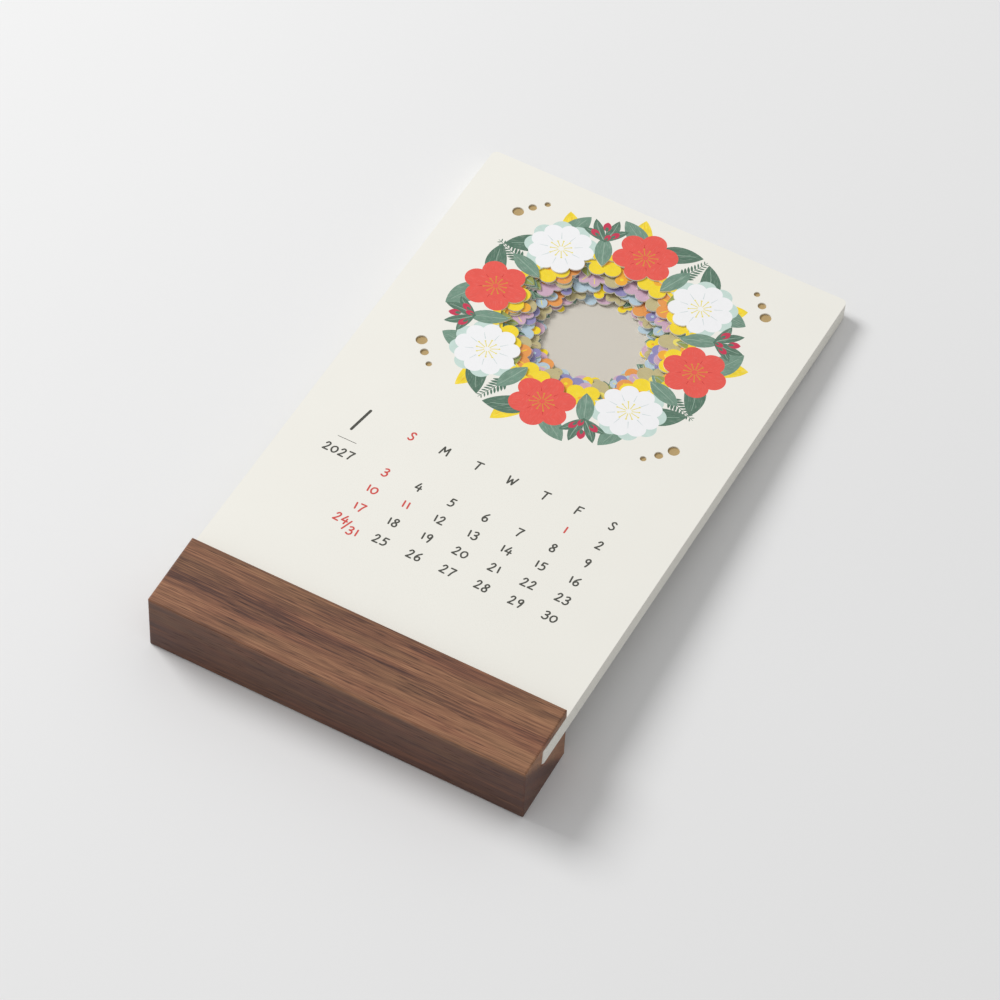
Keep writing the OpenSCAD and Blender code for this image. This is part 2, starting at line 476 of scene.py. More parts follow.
def leaf(length, width, bend=0.0):
    """A pointed leaf along y from the origin, between two arcs of the radius r = (l * l + w * w) / 4w:
    half its width at y is sqrt(r * r - (y - l / 2) ** 2) - (r - w / 2), and its middle line bows
    sideways by bend * 4 * t * (1 - t) at the share t of its length."""
    arc = (length**2 + width**2) / (4 * width)
    steps = max(LEAF_POINTS, int(length / LEAF_STEP))
    t = 0.5 - 0.5 * np.cos(np.linspace(0, math.pi, steps + 1))
    half = np.sqrt(np.maximum(arc**2 - (length * (t - 0.5)) ** 2, 0)) - (arc - width / 2)
    middle = bend * 4 * t * (1 - t) + 1j * length * t
    return np.concatenate([middle + half, (middle - half)[-2:0:-1]])


def midrib(length, bend=0.0, shares=RIB_SHARES):
    """The middle line of a leaf, bowed as the leaf is, from one share of its length to another."""
    t = np.linspace(*shares, max(RIB_POINTS, int(length / RIB_STEP)))
    return bend * 4 * t * (1 - t) + 1j * length * t


def smooth(points, steps=4):
    """A Catmull-Rom curve through points: on each stretch it is the cubic that leaves and arrives
    with half the step between the neighbours on either side."""
    points = np.asarray(points)
    if len(points) == 2:
        return points
    padded = np.concatenate([[2 * points[0] - points[1]], points, [2 * points[-1] - points[-2]]])
    before, start, end, after = (padded[k : k + len(points) - 1, None] for k in range(4))
    t = np.arange(steps)[None] / steps
    curve = start + 0.5 * t * (
        end - before
        + t * (2 * before - 5 * start + 4 * end - after)
        + t * t * (3 * (start - end) + after - before)
    )
    return np.append(curve.ravel(), points[-1])


class Place:
    """A place on the card and a turn there, in radians anticlockwise."""

    def __init__(self, at, turn=0.0):
        self.at, self.turn = at, turn

    def __call__(self, outline):
        return outline * np.exp(1j * self.turn) + self.at

    def shifted(self, step):
        """The same turn, at a step away on the card."""
        return Place(self.at + step, self.turn)

    def toward(self, angle, distance):
        """The place at a distance in the direction at an angle from this one's y, facing that way."""
        heading = self.turn + angle
        return Place(self.at + 1j * distance * np.exp(1j * heading), heading)


class Artwork:
    """The inked shapes of one card in painter's order: a later shape covers the earlier ones."""

    def __init__(self, inks):
        self.inks = inks
        self.points, self.faces, self.colours, self.brushes = [], [], [], []

    def add(self, place, points, faces, ink, dry):
        """Adds faces that share points, all in one ink. dry is how much the brush had dried."""
        start = len(self.points)
        self.points.extend(place(points))
        self.faces.extend([start + corner for corner in face] for face in faces)
        self.colours += [tuple(getattr(self.inks, ink))] * len(faces)
        self.brushes += [(place.turn, len(self.faces), dry)] * len(faces)

    def shape(self, place, outline, ink, dry=0.0):
        """Fills an outline with ink."""
        self.add(place, outline, [range(len(outline))], ink, dry)

    def stroke(self, place, line, width, ink, taper=0.0):
        """Draws along a line with a round pen: points half the width to its left and its right, and
        half circles at its ends. taper is the share of the width that is lost towards the end. The
        four corners of a stretch go round its middle, because they cross inside a sharp bend."""
        heading = np.gradient(line)
        heading /= np.abs(heading)
        half = width / 2 * (1 - taper * np.linspace(0, 1, len(line)))
        count = len(line)
        left = line + 1j * heading * half
        right = line - 1j * heading * half
        bend = np.exp(1j * math.pi * np.arange(1, CAP_POINTS + 1) / (CAP_POINTS + 1))
        tail = line[0] + 1j * heading[0] * half[0] * bend
        tip = line[-1] - 1j * heading[-1] * half[-1] * bend
        points = np.concatenate([right, left, tip, tail])
        stretches = np.arange(count - 1)[:, None] + (0, 1, count + 1, count)
        corners = points[stretches]
        order = np.argsort(np.angle(corners - corners.mean(1, keepdims=True)), 1)
        faces = np.take_along_axis(stretches, order, 1).tolist()
        tip_at, tail_at = 2 * count, 2 * count + CAP_POINTS
        faces.append([count - 1, *range(tip_at, tail_at), 2 * count - 1])
        faces.append([count, *range(tail_at, tail_at + CAP_POINTS), 0])
        self.add(place, points, faces, ink, 0.0)


# Motifs


def round_blossom(art, place, radius, motif):
    """Round petals about a disc. The circles of the petals have the radius p = radius * s / (1 + s),
    where s = PETAL_MERGE * sin(half a step), and stand at radius - p."""
    step = FULL_TURN / motif.parts
    spread = PETAL_MERGE * math.sin(step / 2)
    petal_r = radius * spread / (1 + spread)
    notch = (radius - petal_r) * math.cos(step / 2)
    dry = DRY_WHITE if motif.ink == "chalk" else DRY_PETAL
    for i in range(motif.parts):
        art.shape(place.toward(i * step, radius - petal_r), circle(petal_r + BLEED), motif.ink, dry)
    art.shape(place, circle(radius - petal_r), motif.ink, dry)
    return step, notch


def pointed_blossom(art, place, radius, motif):
    """Pointed petals, whose inner ends lie under a disc. A petal's width goes with the sine of half
    a step, so that many petals are narrow."""
    step = FULL_TURN / motif.parts
    petal_l = POINTED_L * radius
    width = POINTED_W * radius * math.sin(step / 2)
    for i in range(motif.parts):
        petal = place.toward(i * step, radius - petal_l)
        art.shape(petal, leaf(petal_l + BLEED, width + 2 * BLEED), motif.ink, DRY_OTHER)
        art.stroke(petal, midrib(petal_l, 0, PETAL_SHARES), PETAL_LINE, motif.accent)
    art.shape(place, circle(POINTED_EYE * radius), motif.ink, DRY_OTHER)


def bead_sprig(art, place, radius, motif):
    """A sprig that points down y: a bead at its tip, then pairs of beads up a thin stem."""
    bead_r = BEAD_R * radius
    tip = bead_r - radius
    stem = 1j * np.linspace(tip, radius, 4)
    art.stroke(place, stem, STEM_W + 2 * BLEED, "moss")
    beads = [1j * tip]
    for pair in range(1, motif.parts + 1):
        up = tip + BEAD_RISE * bead_r * pair
        beads += [BEAD_SIDE * bead_r * side + 1j * up for side in (-1, 1)]
    for bead in beads[::-1]:
        spot = Place(place(bead), place.turn)
        art.shape(spot, circle(bead_r + BLEED), motif.ink)
        art.shape(spot.toward(0, BEAD_SPOT_UP * bead_r), circle(BEAD_SPOT * bead_r), motif.accent)


def ring_motif(art, place, radius, motif):
    """One motif of a ring behind the front one, with a plain centre."""
    if motif.kind == "beads":
        bead_sprig(art, place, radius, motif)
        return
    if motif.kind == "pointed":
        pointed_blossom(art, place, radius, motif)
    else:
        round_blossom(art, place, radius, motif)
    art.shape(place, circle(PLAIN_EYE * radius), motif.accent)


def leaf_with_rib(art, place, length, width, ink, bend=0.0, rib="dew"):
    """A leaf, and a fine line along its middle."""
    art.shape(place, leaf(length, width, bend), ink, DRY_LEAF)
    art.stroke(place, midrib(length, bend), RIB_LINE, rib, RIB_TAPER)


def ring_leaf(art, place, ink):
    """The leaf at a half step, as it is cut, with ink past its edges."""
    grown = Place(place(-1j * BLEED), place.turn)
    leaf_with_rib(art, grown, LEAF_L + 2 * BLEED, LEAF_W + 2 * BLEED, ink)


def print_ring(art, centre, hole, ring):
    """A month's ring as it shows in the holes before it: its ground, its leaves, its motifs."""
    step = FULL_TURN / ring.count
    start = math.radians(ring.turn)
    art.shape(centre, circle(hole + GROUND_PAST), ring.ground, DRY_OTHER)
    for i in range(ring.count):
        ring_leaf(art, centre.toward(start + (i + 0.5) * step, hole - LEAF_BITE), ring.leaf)
    for i in range(ring.count):
        spot = centre.toward(start + i * step, hole + ring.radius - ring.bite)
        ring_motif(art, spot, ring.radius, (ring.first, ring.second)[i % 2])


# The front card's wreath

# The two leaves behind each blossom, in four turns: how far each turns from the way out of the
# ring in radians, its length, its width and how far its middle bows, in millimetres
WREATH_LEAVES = (
    ((-1.05, 14.2, 5.8, -1.1), (0.85, 12.8, 5.4, 0.8)),
    ((-0.75, 11.8, 6.0, -0.7), (1.1, 14.4, 5.4, 1.2)),
    ((-1.2, 14.0, 5.4, -0.9), (0.95, 13.4, 6.2, 1.0)),
    ((-0.9, 13.2, 5.6, -1.0), (1.2, 13.8, 5.8, 0.9)),
)
# How far from the blossom's middle they start
LEAF_FOOT = 0.5
# The yellow leaf beside some of them: its turn from its neighbour in radians, and its size as a share
# of that one's
YELLOW_TURN = 0.42
YELLOW_SIZE = 0.96
# How much larger the pale petals behind a white blossom are than its own
BEHIND_SIZE = 1.13
# The line between two petals starts at this share of the blossom's radius, and tapers by this share
PARTING_FROM = 0.42
PARTING_TAPER = 0.6
# A blossom's stamens: their number, and as shares of its radius where they start, how long every
# other one is and how much longer the rest are
STAMENS = 11
STAMEN_FROM = 0.1
STAMEN_L = 0.22
STAMEN_MORE = 0.05
# The radius of the dot at the end of a stamen, in millimetres
STAMEN_TIP = 0.24
# How far past the hole a sprig starts, how far from there its leaves do, these leaves, with the turn,
# the length and the bow of each, and its buds, with the turn, the distance and the length of each
SPRIG_OUT = 6
SPRIG_FOOT = 0.3
SPRIG_LEAVES = ((-0.95, 7.0, -0.5), (0.92, 6.8, 0.5), (-0.4, 8.0, 0.3), (0.34, 7.8, -0.3))
BUDS = ((-0.8, 2.2, 2.7), (0.72, 2.4, 2.9), (-0.06, 3.6, 3.2), (-0.42, 0.5, 2.3))
# Shares of the length of a sprig's leaf or of a bud: their widths, and the green cup under a bud
SPRIG_LEAF_W = 0.34
BUD_W = 0.66
CUP_L = 0.5
CUP_W = 0.3
# How far past the hole a fern starts, its length, the share of its width that its stem loses, its
# pairs of leaflets, how far these turn from the stem in radians, the length of one at its foot, how
# much of that is lost towards its tip, and the width of one as a share of its length
FERN_OUT = 4.2
FERN_L = 9.5
FERN_TAPER = 0.4
FERN_PAIRS = 8
FERN_TURN = 0.9
LEAFLET_L = 3.2
LEAFLET_TAPER = 0.7
LEAFLET_W = 0.28
# The yellow balls at a gap of the ring, with their radii, and the radius of the eye of each
MIMOSA = ((-2.6 + 0.6j, 1.5), (2.6 + 0.5j, 1.4), (-0.9 - 0.2j, 1.3), (1.1 + 0.1j, 1.5), (2j, 1.2))
MIMOSA_EYE = 0.35


def stamens(art, place, radius, ink):
    """Fine strokes that fan out from a blossom's middle, each with a dot at its end."""
    for i in range(STAMENS):
        ray = place.toward(i * FULL_TURN / STAMENS, STAMEN_FROM * radius)
        reach = radius * (STAMEN_L + STAMEN_MORE * (i % 2))
        art.stroke(ray, 1j * np.linspace(0, reach, 3), PETAL_LINE, ink)
        art.shape(ray.toward(0, reach), circle(STAMEN_TIP), ink)


def front_blossom(art, place, radius, motif, line):
    """A large blossom: petals, the lines that part them, and stamens."""
    step, notch = round_blossom(art, place, radius, motif)
    for i in range(motif.parts):
        parting = place.toward((i + 0.5) * step, 0)
        way = 1j * np.linspace(PARTING_FROM * radius, notch, 3)
        art.stroke(parting, way, FINE_LINE, line, PARTING_TAPER)
    stamens(art, place, radius, motif.accent)


def bud_sprig(art, place):
    """Pointed buds on fine stems, over narrow leaves."""
    for angle, size, bend in SPRIG_LEAVES:
        foot = place.toward(angle, SPRIG_FOOT)
        leaf_with_rib(art, foot, size, SPRIG_LEAF_W * size, "pine", bend)
    for angle, reach, size in BUDS:
        art.stroke(place.toward(angle, 0), 1j * np.linspace(0, reach, 3), RIB_LINE, "pine")
        bud = place.toward(angle, reach)
        art.shape(bud, leaf(size, BUD_W * size), "crimson", DRY_OTHER)
        art.shape(bud, leaf(CUP_L * size, CUP_W * size), "pine", DRY_OTHER)


def fern(art, place):
    """A fern: pairs of leaflets up a fine stem, each pair shorter than the one below."""
    art.stroke(place, 1j * np.linspace(0, FERN_L, 5), FINE_LINE, "pine", FERN_TAPER)
    for pair in range(1, FERN_PAIRS + 1):
        up = pair / (FERN_PAIRS + 1)
        size = LEAFLET_L * (1 - LEAFLET_TAPER * up)
        joint = place.toward(0, FERN_L * up)
        for side in (-1, 1):
            leaflet = joint.toward(side * FERN_TURN, 0)
            art.shape(leaflet, leaf(size, LEAFLET_W * size), "pine", DRY_FERN)


def mimosa(art, place):
    """Small yellow balls along the ring's edge."""
    for ball, radius in MIMOSA:
        spot = Place(place(ball), place.turn)
        art.shape(spot, circle(radius), "sun", DRY_OTHER)
        art.shape(spot, circle(MIMOSA_EYE), "amber")


def print_wreath(art, centre, hole, ring):
    """The wreath round the front card's hole: leaves, sprigs and ferns, then the blossoms."""
    step = FULL_TURN / ring.count
    flower_out = hole + ring.radius - ring.bite
    for i in range(ring.count):
        gap = centre.toward((i + 0.5) * step, hole)
        mimosa(art, gap)
        if i % 2:
            fern(art, gap.toward(0, FERN_OUT))
    for i in range(ring.count):
        flower = centre.toward(i * step, flower_out)
        for side, (angle, size, width, bend) in enumerate(WREATH_LEAVES[i * 3 % 4]):
            big = flower.toward(angle, LEAF_FOOT)
            if (i + side) % 3 == 1:
                beside = big.toward(-math.copysign(YELLOW_TURN, angle), 0)
                small = YELLOW_SIZE * size, YELLOW_SIZE * width
                leaf_with_rib(art, beside, *small, "sun", -bend, "amber")
            leaf_with_rib(art, big, size, width, "sage" if (i + side) % 2 else "pine", bend)
        if i % 2:
            between = flower.toward(FULL_TURN / 2 / ring.second.parts, 0)
            behind = ring.second._replace(ink="aqua")
            round_blossom(art, between, BEHIND_SIZE * ring.radius, behind)
    for i in range(ring.count):
        gap = centre.toward((i + 0.5) * step, hole)
        ring_leaf(art, gap.toward(0, -LEAF_BITE), ring.leaf)
        if i % 2 == 0:
            bud_sprig(art, gap.toward(0, SPRIG_OUT))
    for i in range(ring.count):
        flower = centre.toward(i * step, flower_out)
        if i % 2:
            front_blossom(art, flower, ring.radius, ring.second, "mist")
        else:
            front_blossom(art, flower, ring.radius, ring.first, "brick")


def print_behind_dots(art, front):
    """A patch of ink under each dot that is punched through the front card."""
    for dot in front.loops[2:]:
        patch = circle(DOT_PATCH * np.ptp(dot.real) / 2)
        art.shape(Place(middle(dot)), patch, "bronze", DRY_OTHER)


# Lettering


def glyph_span(letter):
    """Where a glyph starts and ends across, on the grid that it is drawn on."""
    across = [point.real for stroke in GLYPHS[letter] for point in stroke]
    return min(across), max(across)


def write(art, place, text, height, line, ink, slant, hand):
    """Writes a line of lettering centred on a place, each letter a little off true."""
    scale = height / GLYPH_H
    spans = [glyph_span(letter) for letter in text]
    width = sum(end for _, end in spans) + LETTER_GAP * (len(text) - 1)
    x = -(spans[0][0] + width) / 2
    for letter, (_, end) in zip(text, spans):
        tilt, drop = hand.normal(0, HAND_TILT), hand.normal(0, HAND_DROP)
        for stroke in GLYPHS[letter]:
            points = smooth(stroke) - 1j * (GLYPH_H / 2 + drop)
            leaning = points + slant * points.imag + x
            art.stroke(place, leaning * scale * np.exp(1j * tilt), line, ink)
        x += end + LETTER_GAP


def print_dates(art, centre, sizes, month):
    """The month's number, a rule, the year, the weekdays and the dates."""
    hand = np.random.default_rng(month)

    def spot(x, down):
        return Place(centre.at + x / MM - 1j * down / MM)

    def pen(place, text, height, line, ink):
        write(art, place, text, height / MM, line / MM, ink, sizes.slant, hand)

    number = str(month).replace("1", "I")
    pen(spot(sizes.month_at, sizes.month_down), number, sizes.month, sizes.month_line, "writing")
    rule = np.linspace(-0.5, 0.5, 5) * sizes.rule / MM
    art.stroke(spot(sizes.year_at, sizes.rule_down), rule + 0j, sizes.rule_line / MM, "writing")
    pen(spot(sizes.year_at, sizes.year_down), str(YEAR), sizes.year, sizes.digit_line, "writing")
    for day, letter in enumerate(WEEKDAYS):
        place = spot(sizes.sunday_at + day * sizes.column, sizes.letters_down)
        pen(place, letter, sizes.letter, sizes.digit_line, "writing" if day else "sunday")

    weeks = Calendar(SUNDAY).monthdayscalendar(YEAR, month)
    past = dict(enumerate(weeks[ROWS])) if len(weeks) > ROWS else {}
    half = complex(sizes.pair_across, -sizes.pair_down) / 2 / MM
    for row, week in enumerate(weeks[:ROWS]):
        for day, date in enumerate(week):
            if not date:
                continue
            later = past.get(day) if row == ROWS - 1 else 0
            ink = "writing" if day and (month, date) not in HOLIDAYS else "sunday"
            place = spot(sizes.sunday_at + day * sizes.column, sizes.dates_down + row * sizes.row)
            texts = [(0, str(date))]
            if later:
                texts = [(-half, str(date)), (0, "/"), (half, str(later))]
            for step, text in texts:
                pen(place.shifted(step), text, sizes.digit, sizes.digit_line, ink)


# From outlines and artwork to a card


def mosaic(loops, art=None):
    """Cuts a card's face along its outlines and the edges of its inked shapes. Gives the corners,
    the triangles on the card, the shape on top of each, or -1 where it is bare, and for each
    corner the first of the given points that it came from."""
    flat = np.concatenate([*loops, np.array(art.points if art else [], complex)])
    ends = np.cumsum([0] + [len(loop) for loop in loops])
    faces = [list(range(a, b)) for a, b in zip(ends[:-1], ends[1:])]
    if art:
        faces += [[ends[-1] + corner for corner in face] for face in art.faces]
    faces = [face if area(flat[face]) > 0 else face[::-1] for face in faces]
    points = [Vector((z.real, z.imag)) for z in flat]
    cut = delaunay_2d_cdt(points, [], faces, KEEP_INSIDE, SAME_CORNER, True)
    corners, _, triangles, origins, _, owners = cut
    triangles = np.array(triangles)
    owner = np.concatenate(owners)
    start = np.cumsum([0] + [len(held) for held in owners[:-1]])
    in_hole = np.logical_or.reduceat((owner > 0) & (owner < len(loops)), start)
    on_card = np.logical_or.reduceat(owner == 0, start) & ~in_hole
    top = np.maximum.reduceat(owner, start) - len(loops)
    corners = np.array([corner.x + 1j * corner.y for corner in corners])
    triangles, top = triangles[on_card], np.maximum(top[on_card], -1)
    shown = np.bincount(top + 1, triangle_areas(corners[triangles]), len(faces) - len(loops) + 1)[1:]
    drawn = np.array([area(flat[face]) for face in faces[len(loops):]])
    if (shown > drawn + SLIVER).any():
        raise RuntimeError("Ink has run out of its shape over the card")
    used, triangles = np.unique(triangles, return_inverse=True)
    origin = np.array([held[0] if held else -1 for held in origins])
    return corners[used], triangles.reshape(-1, 3), top, origin[used]


def card_mesh(name, blank, art):
    """A closed card: its printed face, its bare back, and between them its cut edges, each with a
    narrow band along the face that the cutting die has pressed, darkened partly as painted shade."""
    face, face_triangles, top = mosaic(blank.loops, art)[:3]
    rims = sorted(outlines(face_triangles), key=lambda rim: -abs(area(face[rim])))
    rim = np.concatenate(rims)
    back, back_triangles, _, origin = mosaic([face[loop] for loop in rims])
    pressed = len(face) + len(back) + np.arange(len(rim))
    low = np.empty(len(rim), int)
    low[origin] = len(face) + np.arange(len(back))
    ends = np.cumsum([0] + [len(loop) for loop in rims])

    def band(upper, lower):
        after = np.concatenate([np.roll(np.arange(a, b), -1) for a, b in zip(ends[:-1], ends[1:])])
        return np.stack([upper[after], upper, lower, lower[after]], 1)

    places = np.concatenate([
        blank.places(face, blank.high),
        blank.places(back, blank.low),
        blank.places(face[rim], blank.high - PRESSED * MM),
    ])
    groups = (
        face_triangles,
        back_triangles[:, ::-1] + len(face),
        band(rim, pressed),
        band(pressed, low),
    )
    mesh = bpy.data.meshes.new(name)
    mesh.from_pydata(places, [], [corners for group in groups for corners in group.tolist()])
    mark_ink(mesh, face[face_triangles], top, art, [group.size for group in groups])
    mesh.validate()
    return mesh


def mark_ink(mesh, corners, top, art, counts):
    """Keeps each face's ink, with its cover as alpha, and where its brush strokes lie: how far along
    the stroke and across it in millimetres, set apart for each shape, and how dry the brush was.
    counts are the corners of the printed face, the back, the pressed band and the cut edge."""
    # The pressed band's dark ink is partly the pressed card's own darkening, partly painted shade of
    # the grooves between the stacked cards
    bare, cut = (1, 1, 1, 0), (*art.inks.cut, PRESSED_SHADE_COVER)
    colours = np.array([*((*tone, 1.0) for tone in art.colours), bare])
    runs = [np.repeat(colours[top], 3, axis=0)]
    runs += [np.tile(tone, (count, 1)) for tone, count in zip((bare, cut, bare), counts[1:])]
    ink = mesh.color_attributes.new("ink", "FLOAT_COLOR", "CORNER")
    ink.data.foreach_set("color", np.concatenate(runs).ravel())

    turn, seed, dry = np.array([*art.brushes, (0, 0, 0)]).T[:, top][:, :, None]
    strokes = corners * np.exp(-1j * turn)
    along = strokes.imag + SHAPE_STEP * seed
    values = np.zeros((sum(counts), 3))
    printed = np.stack([along, strokes.real, np.broadcast_to(dry, corners.shape)], -1)
    values[: corners.size] = printed.reshape(-1, 3)
    brush = mesh.attributes.new("brush", "FLOAT_VECTOR", "CORNER")
    brush.data.foreach_set("vector", values.ravel())


def place_card(month, blank, art, material):
    """Makes a month's card in place of its node."""
    name = f"{month}_print"
    piece = bpy.data.objects.new(name, card_mesh(name, blank, art))
    piece.data.materials.append(material)
    bpy.context.scene.collection.objects.link(piece)
    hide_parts(f"{month}_card")
    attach(piece, "root")


# Materials

# Where the frame's origin lies from the pith of the stand's log, in millimetres
PITH = (0.0, 128.0, 46.0)
# Distances from the pith: up to the first, along the stand's lower front edge, the underside is
# darkened as painted shade, and the figured wood lies from the second on, with one dark streak about
# the third
UNDERSIDE_SHADE_TO = 75.4
FIGURE_FROM = 77
STREAK_AT = 82.3
# Half the width of that streak where it is darkest, and where it has faded out
STREAK_CORE = 0.4
STREAK_END = 2.6
# Tones run from the streaks, through the heartwood, to the pale fibres
TONE_STREAK = -0.3
TONE_HEART = 0.45
TONE_PALE = 1.2
# The tone of the underside's painted shade and of the figured wood, and what the one streak adds to it
UNDERSIDE_SHADE_TONE = -0.12
FIGURE_TONE = 0.54
STREAK_TONE = -0.42
# How much of the growth lines, fibres and hairs shows in the underside's painted shade
UNDERSIDE_SHADE_FIGURE = 0.5
# Lumps of the wood's noises in a millimetre, along the grain and in the two directions across it
WANDER_LUMPS = (0.011, 0.03, 0.03)
FIBRE_LUMPS = (0.05, 2.4, 2.4)
HAIR_LUMPS = (0.12, 6.0, 6.0)
TINT_LUMPS = (0.03, 0.22, 0.22)
# The growth lines, broad and fine: lumps in the width of a ring, detail, and the most that each
# changes the tone by
GROWTH_LINES = ((0.5, 2, 0.55), (2.6, 3, 0.25))
# How many lumps they have in a millimetre along the stand and up it
GROWTH_ALONG = 0.012
GROWTH_UP = 0.02
# The most that fibres and hairs change the tone by
FIBRE_TONE = 0.75
HAIR_TONE = 0.7
# Cells of the pores in the length and in the width of a pore, and how far from a cell's point the
# pore is fully open and where it ends, in cells
PORE_ALONG = 0.42
PORE_ACROSS = 0.36
PORE_CORE = 0.1
PORE_END = 0.26
# How strong a pore is in pale wood, the tones at which it is that and at which it is at its full
# strength, how much of the wood's colour it covers, and how much rougher it is
PORE_FAINT = 0.3
PORE_TONES = (1.0, 0.1)
PORE_COVER = 0.85
PORE_ROUGH = 0.2
# Height of the hairs, where a pore is 1 deep
HAIR_HEIGHT = 0.4
# The wood's sheen, and how much less and more rough than its setting its fibres make it
WOOD_SHEEN = 0.35
ROUGH_LESS = 0.05
ROUGH_MORE = 0.08
# Ranges of noise that are carried to other values, where a narrow one gives a strong contrast: for
# the sway of the grain, the patterns of its tone, its tint, and its gloss and the floor's light
SWAY_RANGE = (0.25, 0.75)
PATTERN_RANGE = (0.2, 0.8)
TINT_RANGE = (0.35, 0.65)
SOFT_RANGE = (0.3, 0.7)

# Lumps of the card's noises: in the width of a fibre, and in a millimetre of its soft clouds
PAPER_LUMPS = 0.5
CLOUD_LUMPS = 0.07
# The least and the most light of the bare card
PAPER_LIGHT = (0.988, 1.008)
# Lumps of the ink's noises in a millimetre along the stroke, across it and out of it: the streaks of
# the brush, the patches where it held more ink, and the gaps where it ran dry
STREAK_LUMPS = (0.35, 2.4, 0.0)
PATCH_LUMPS = (0.5, 0.5, 0.0)
GAP_LUMPS = (0.5, 4.5, 0.0)
# Noise at which a gap starts, and at which it is as bare as it gets
GAP_RANGE = (0.52, 0.72)
# Where the sum of two noises mostly lies
PAIR_RANGE = (0.6, 1.4)
# Height of the ink, where the card's fibres are 1 high, and the sheen of both
INK_HEIGHT = 0.4
CARD_SHEEN = 0.3

# Lumps of the floor's noise in a millimetre, its least and its most light, its roughness and its sheen
FLOOR_LUMPS = 0.004
FLOOR_LIGHT = (0.99, 1.01)
FLOOR_ROUGH = 0.9
FLOOR_SHEEN = 0.2


class Shader:
    """A material's nodes, added one by one."""

    def __init__(self, name):
        self.material = bpy.data.materials.new(name)
        self.material.use_nodes = True
        self.tree = self.material.node_tree
        self.surface = self.tree.nodes["Principled BSDF"]

    def feed(self, socket, value):
        """Gives a socket a number or colour, or links it to an output."""
        if isinstance(value, bpy.types.NodeSocket):
            self.tree.links.new(value, socket)
        elif hasattr(value, "__len__") and len(value) == 3 and socket.type == "RGBA":
            socket.default_value = (*value, 1)
        else:
            socket.default_value = value

    def node(self, kind, *values, **settings):
        """Adds a node with its first inputs and its settings, and gives its first output. A name
        that is one of the node's inputs, with spaces as underscores, is set as an input."""
        node = self.tree.nodes.new("ShaderNode" + kind)
        inputs = {}
        for key, value in settings.items():
            if hasattr(node, key):
                setattr(node, key, value)
            else:
                inputs[key.replace("_", " ")] = value
        for socket, value in zip(node.inputs, values):
            self.feed(socket, value)
        for key, value in inputs.items():
            self.feed(node.inputs[key], value)
        return node.outputs[0]

    def add(self, first, second):
        """The sum of two numbers."""
        return self.node("Math", first, second, operation="ADD")

    def less(self, first, second):
        """The first of two numbers less the second."""
        return self.node("Math", first, second, operation="SUBTRACT")

    def times(self, first, second):
        """The product of two numbers."""
        return self.node("Math", first, second, operation="MULTIPLY")

    def spread(self, value, low, high, to_low=0.0, to_high=1.0):
        """A number carried from one range to another, and kept inside it."""
        return self.node("MapRange", value, low, high, to_low, to_high)

    def swing(self, value, low, high, most):
        """A number carried from a range to one from -most to most, and kept inside it."""
        return self.spread(value, low, high, -most, most)

    def mix(self, factor, first, second, blend="MIX"):
        """Two colours mixed."""
        node = self.tree.nodes.new("ShaderNodeMix")
        node.data_type, node.blend_type = "RGBA", blend
        for socket, value in ((0, factor), (6, first), (7, second)):
            self.feed(node.inputs[socket], value)
        return node.outputs[2]

    def lit(self, base, light):
        """A colour times a number, which makes it lighter or darker."""
        return self.mix(1.0, base, self.node("CombineColor", light, light, light), "MULTIPLY")

    def stretched(self, vector, x, y, z):
        """A vector with its parts scaled."""
        return self.node("VectorMath", vector, (x, y, z), operation="MULTIPLY")

    def moved(self, vector, step):
        """The sum of two vectors."""
        return self.node("VectorMath", vector, step, operation="ADD")

    def size(self, vector):
        """The length of a vector."""
        node = self.tree.nodes.new("ShaderNodeVectorMath")
        node.operation = "LENGTH"
        self.feed(node.inputs[0], vector)
        return node.outputs["Value"]

    def parts(self, vector):
        """The parts of a vector, by the names X, Y and Z."""
        node = self.tree.nodes.new("ShaderNodeSeparateXYZ")
        self.feed(node.inputs[0], vector)
        return node.outputs

    def attribute(self, name):
        """The outputs of one of the mesh's attributes."""
        node = self.tree.nodes.new("ShaderNodeAttribute")
        node.attribute_name = name
        return node.outputs

    def noise(self, vector, lumps, detail=3.0, roughness=0.5):
        """Noise with a number of lumps for each unit of the vector, or one number for each part."""
        if isinstance(lumps, tuple):
            vector, lumps = self.stretched(vector, *lumps), 1.0
        return self.node(
            "TexNoise", Vector=vector, Scale=lumps, Detail=detail, Roughness=roughness
        )

    def in_millimetres(self):
        """The place on the piece, in millimetres."""
        coordinates = self.tree.nodes.new("ShaderNodeTexCoord").outputs["Object"]
        return self.stretched(coordinates, 1 / MM, 1 / MM, 1 / MM)

    def finished(self, base, roughness, sheen, height=None, depth=None):
        """The material, with its surface set. sheen is its specular level, height is the pattern of
        its bumps, and depth is how far out a height of 1 stands."""
        self.feed(self.surface.inputs["Base Color"], base)
        self.feed(self.surface.inputs["Roughness"], roughness)
        self.feed(self.surface.inputs["Specular IOR Level"], sheen)
        if height is not None:
            bump = self.node("Bump", Strength=1.0, Distance=depth, Height=height)
            self.feed(self.surface.inputs["Normal"], bump)
        return self.material


